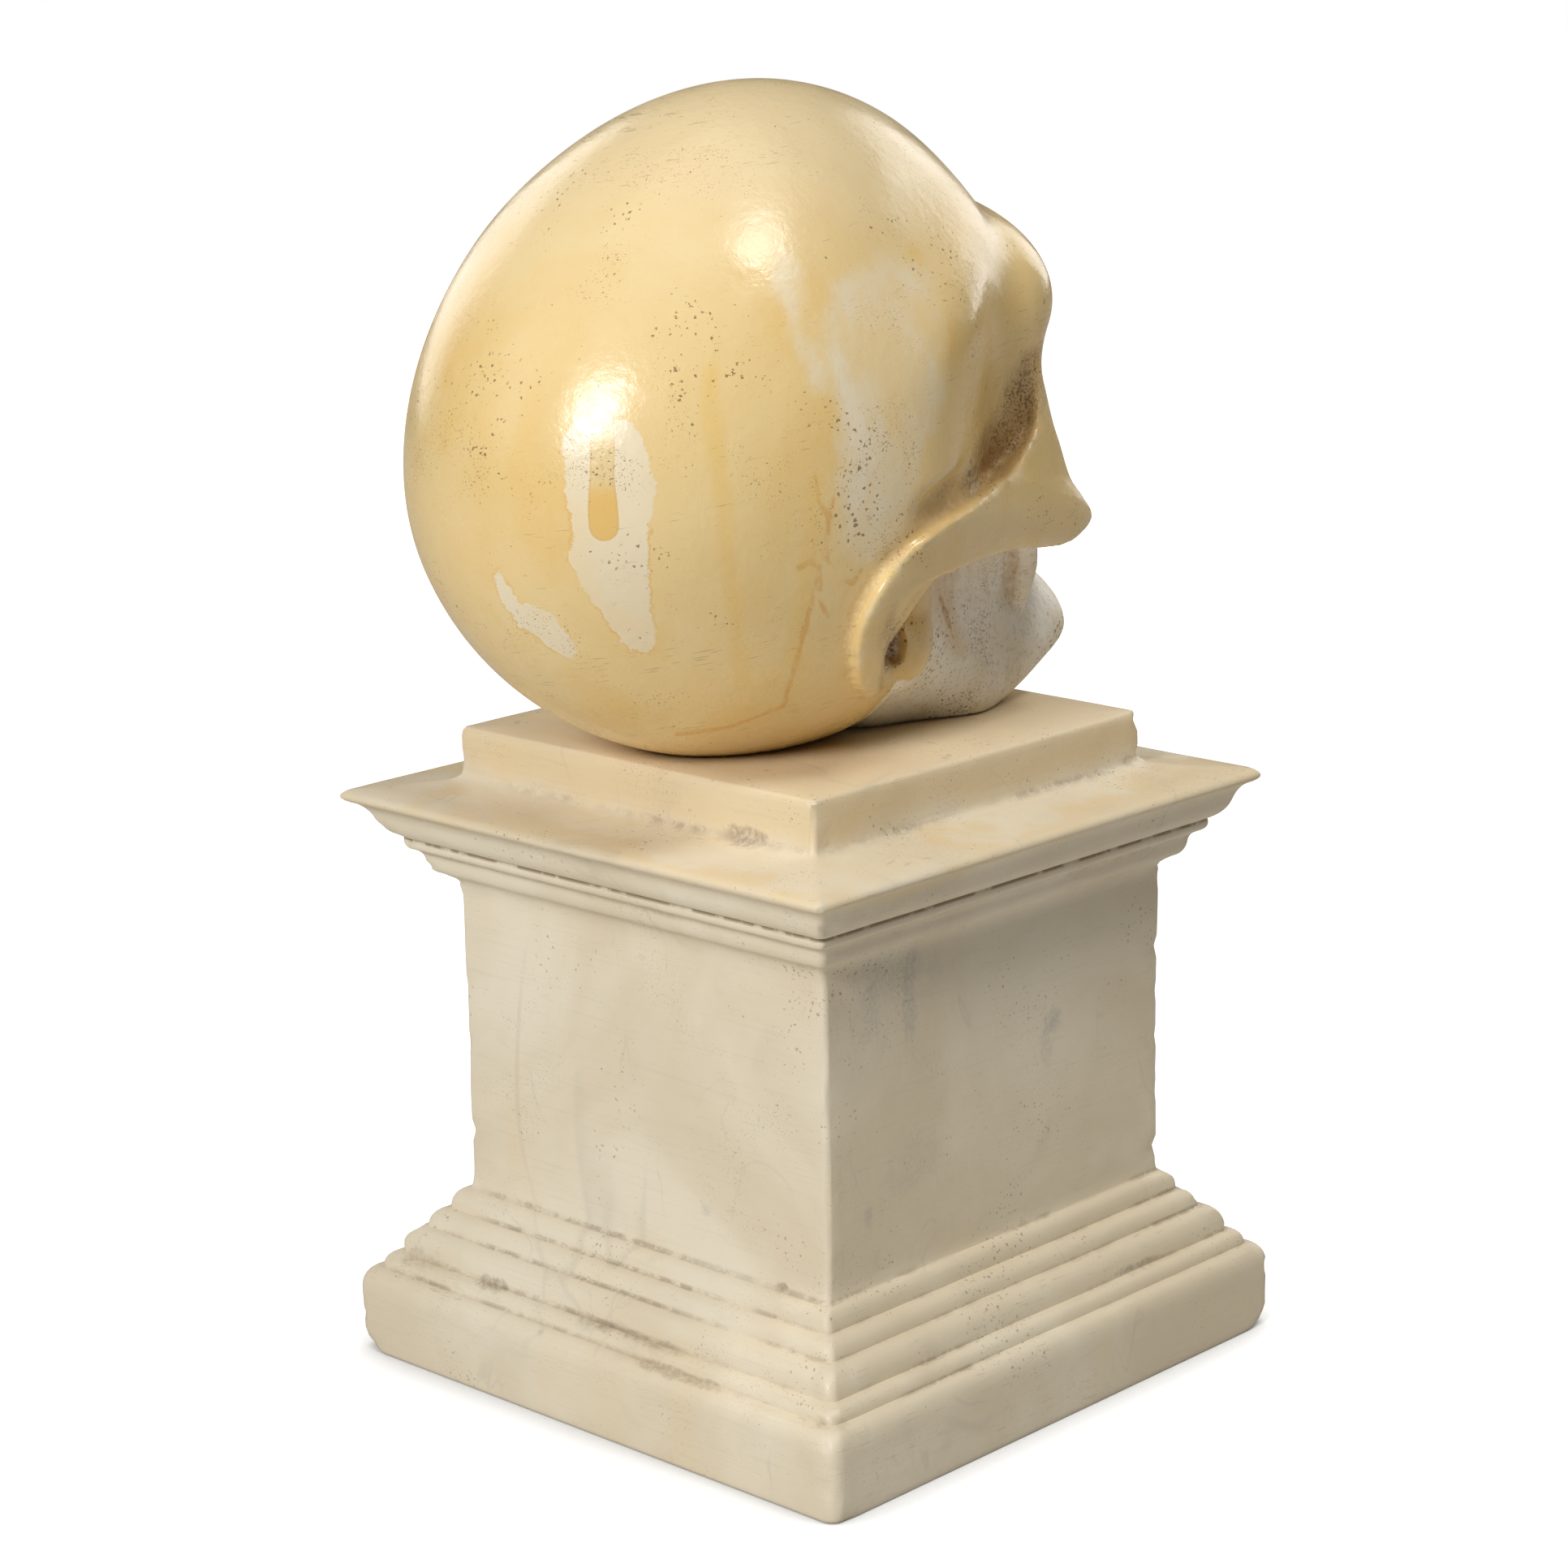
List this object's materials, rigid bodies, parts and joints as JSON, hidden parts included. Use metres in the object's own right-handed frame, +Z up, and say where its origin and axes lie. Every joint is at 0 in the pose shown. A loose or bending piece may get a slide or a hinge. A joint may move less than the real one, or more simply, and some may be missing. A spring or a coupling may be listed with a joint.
{
  "type": "skull sculpture",
  "caption": "Carved marble human skull without its lower jaw, tipped back to look up, resting on a square pedestal with a moulded base, plain shaft and stepped cornice.",
  "frame": {"origin": "centre of the pedestal's flat underside", "axes": "+Z up, the skull's face looks along -Y and up, +X is the skull's left"},
  "size_m": [0.1592, 0.1854, 0.3063],
  "materials": {
    "plinth_marble": "honed white marble, mellowed and a little soiled",
    "skull_marble": "polished marble with a honey-yellow wax patina, worn white in patches"
  },
  "bodies": {
    "root": {"plinth": "plinth_marble", "skull": "skull_marble"}
  },
  "joints": []
}
